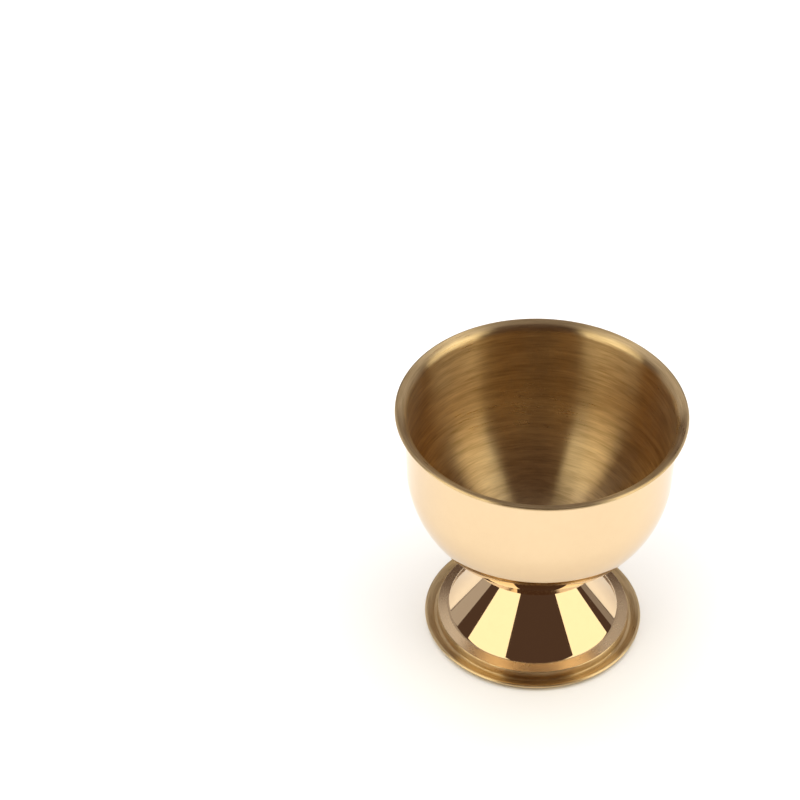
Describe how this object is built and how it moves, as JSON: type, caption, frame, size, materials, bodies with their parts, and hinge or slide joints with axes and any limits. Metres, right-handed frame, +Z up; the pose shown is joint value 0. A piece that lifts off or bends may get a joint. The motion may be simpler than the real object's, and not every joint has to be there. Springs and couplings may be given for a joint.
{
  "type": "egg cup",
  "caption": "Small metal egg cup: a round bowl with a turned-out lip, on a dished collar and a hollow flared foot with a raised brim.",
  "frame": {"origin": "centre of the circle on which the cup stands, in the plane of the table", "axes": "+Z up along the axis of the cup, which is round about it"},
  "size_m": [0.05, 0.05, 0.0485],
  "materials": {
    "bowl_gold": "gold-coloured coating, satin and brushed round inside, polished outside",
    "collar_gold": "gold-coloured coating, polished",
    "foot_gold": "gold-coloured coating, polished on the cone and the ring, satin on the brim"
  },
  "bodies": {
    "root": {"bowl": "bowl_gold", "collar": "collar_gold", "foot": "foot_gold"}
  },
  "joints": []
}
